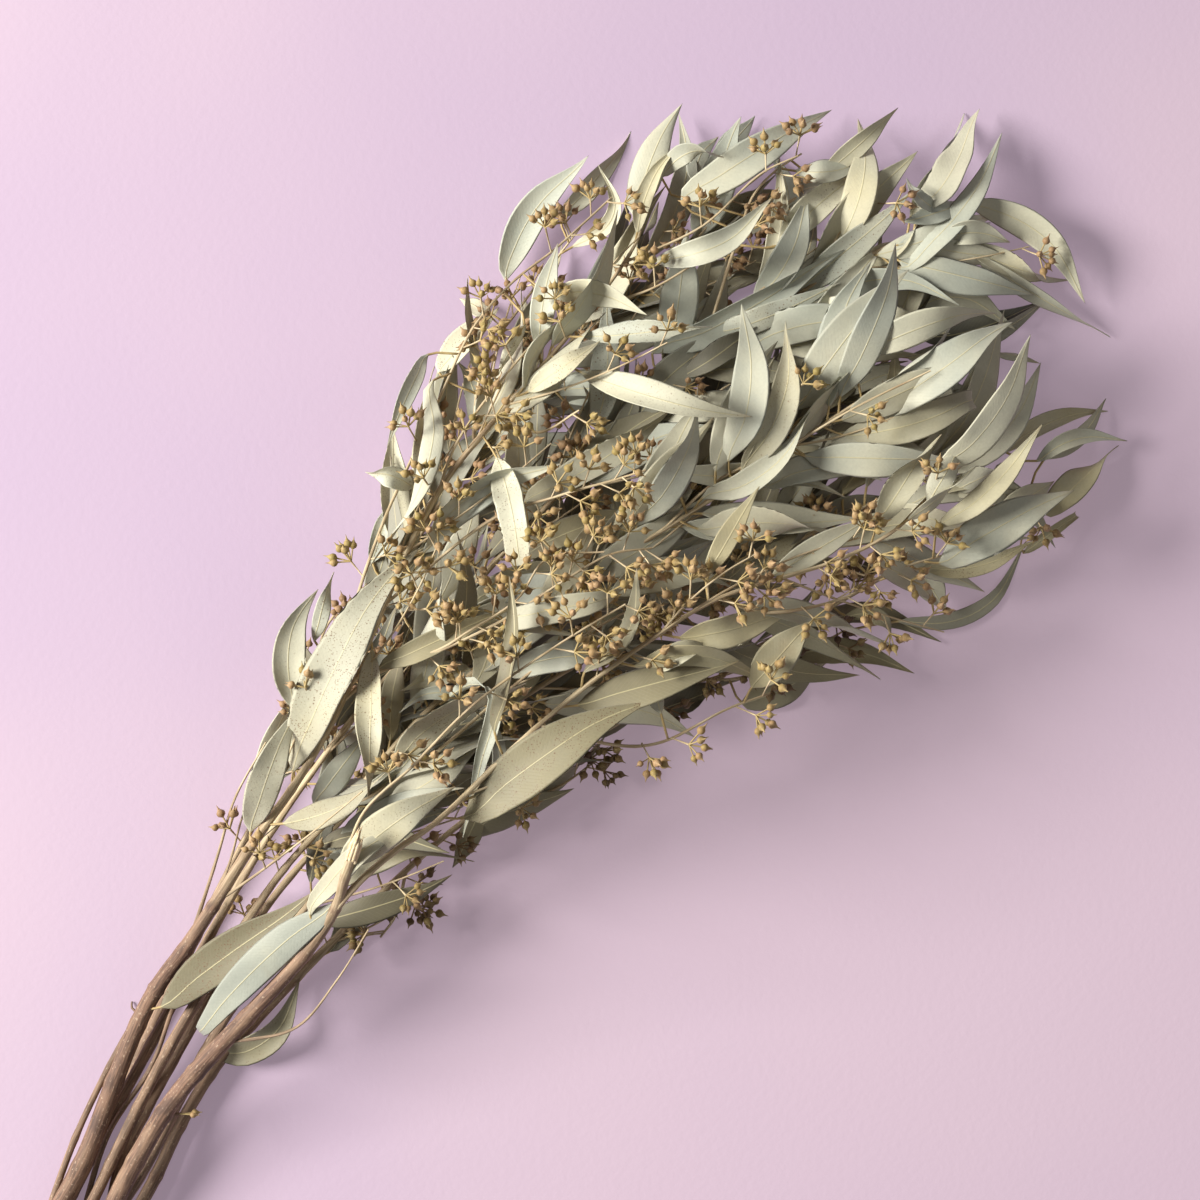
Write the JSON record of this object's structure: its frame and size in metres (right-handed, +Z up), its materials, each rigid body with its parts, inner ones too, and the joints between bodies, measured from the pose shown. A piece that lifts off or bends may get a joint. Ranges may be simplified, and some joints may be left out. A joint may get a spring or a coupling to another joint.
{
  "type": "bunch of dried seeded eucalyptus stems",
  "caption": "Loose bunch of dried eucalyptus stems lying on a surface, with long sickle-shaped leaves and clusters of beaked gum nuts on thin twigs.",
  "frame": {"origin": "on the surface that the bunch lies on, under the middle of its bounding box", "axes": "+X along the bunch from the cut ends to the leaf tips, +Z up from the surface"},
  "size_m": [0.7739, 0.3183, 0.1341],
  "materials": {
    "sprig_1": "matte",
    "sprig_2": "matte",
    "sprig_3": "matte",
    "sprig_4": "matte",
    "sprig_5": "matte",
    "sprig_6": "matte",
    "sprig_7": "matte",
    "sprig_8": "matte"
  },
  "bodies": {
    "root": {"sprig_1_lower_right": "sprig_1", "sprig_2_upper_left": "sprig_2", "sprig_3_middle": "sprig_3", "sprig_4_right": "sprig_4", "sprig_5_upper": "sprig_5", "sprig_6_centre": "sprig_6", "sprig_7_left_edge": "sprig_7", "sprig_8_broken_branch": "sprig_8"}
  },
  "joints": []
}
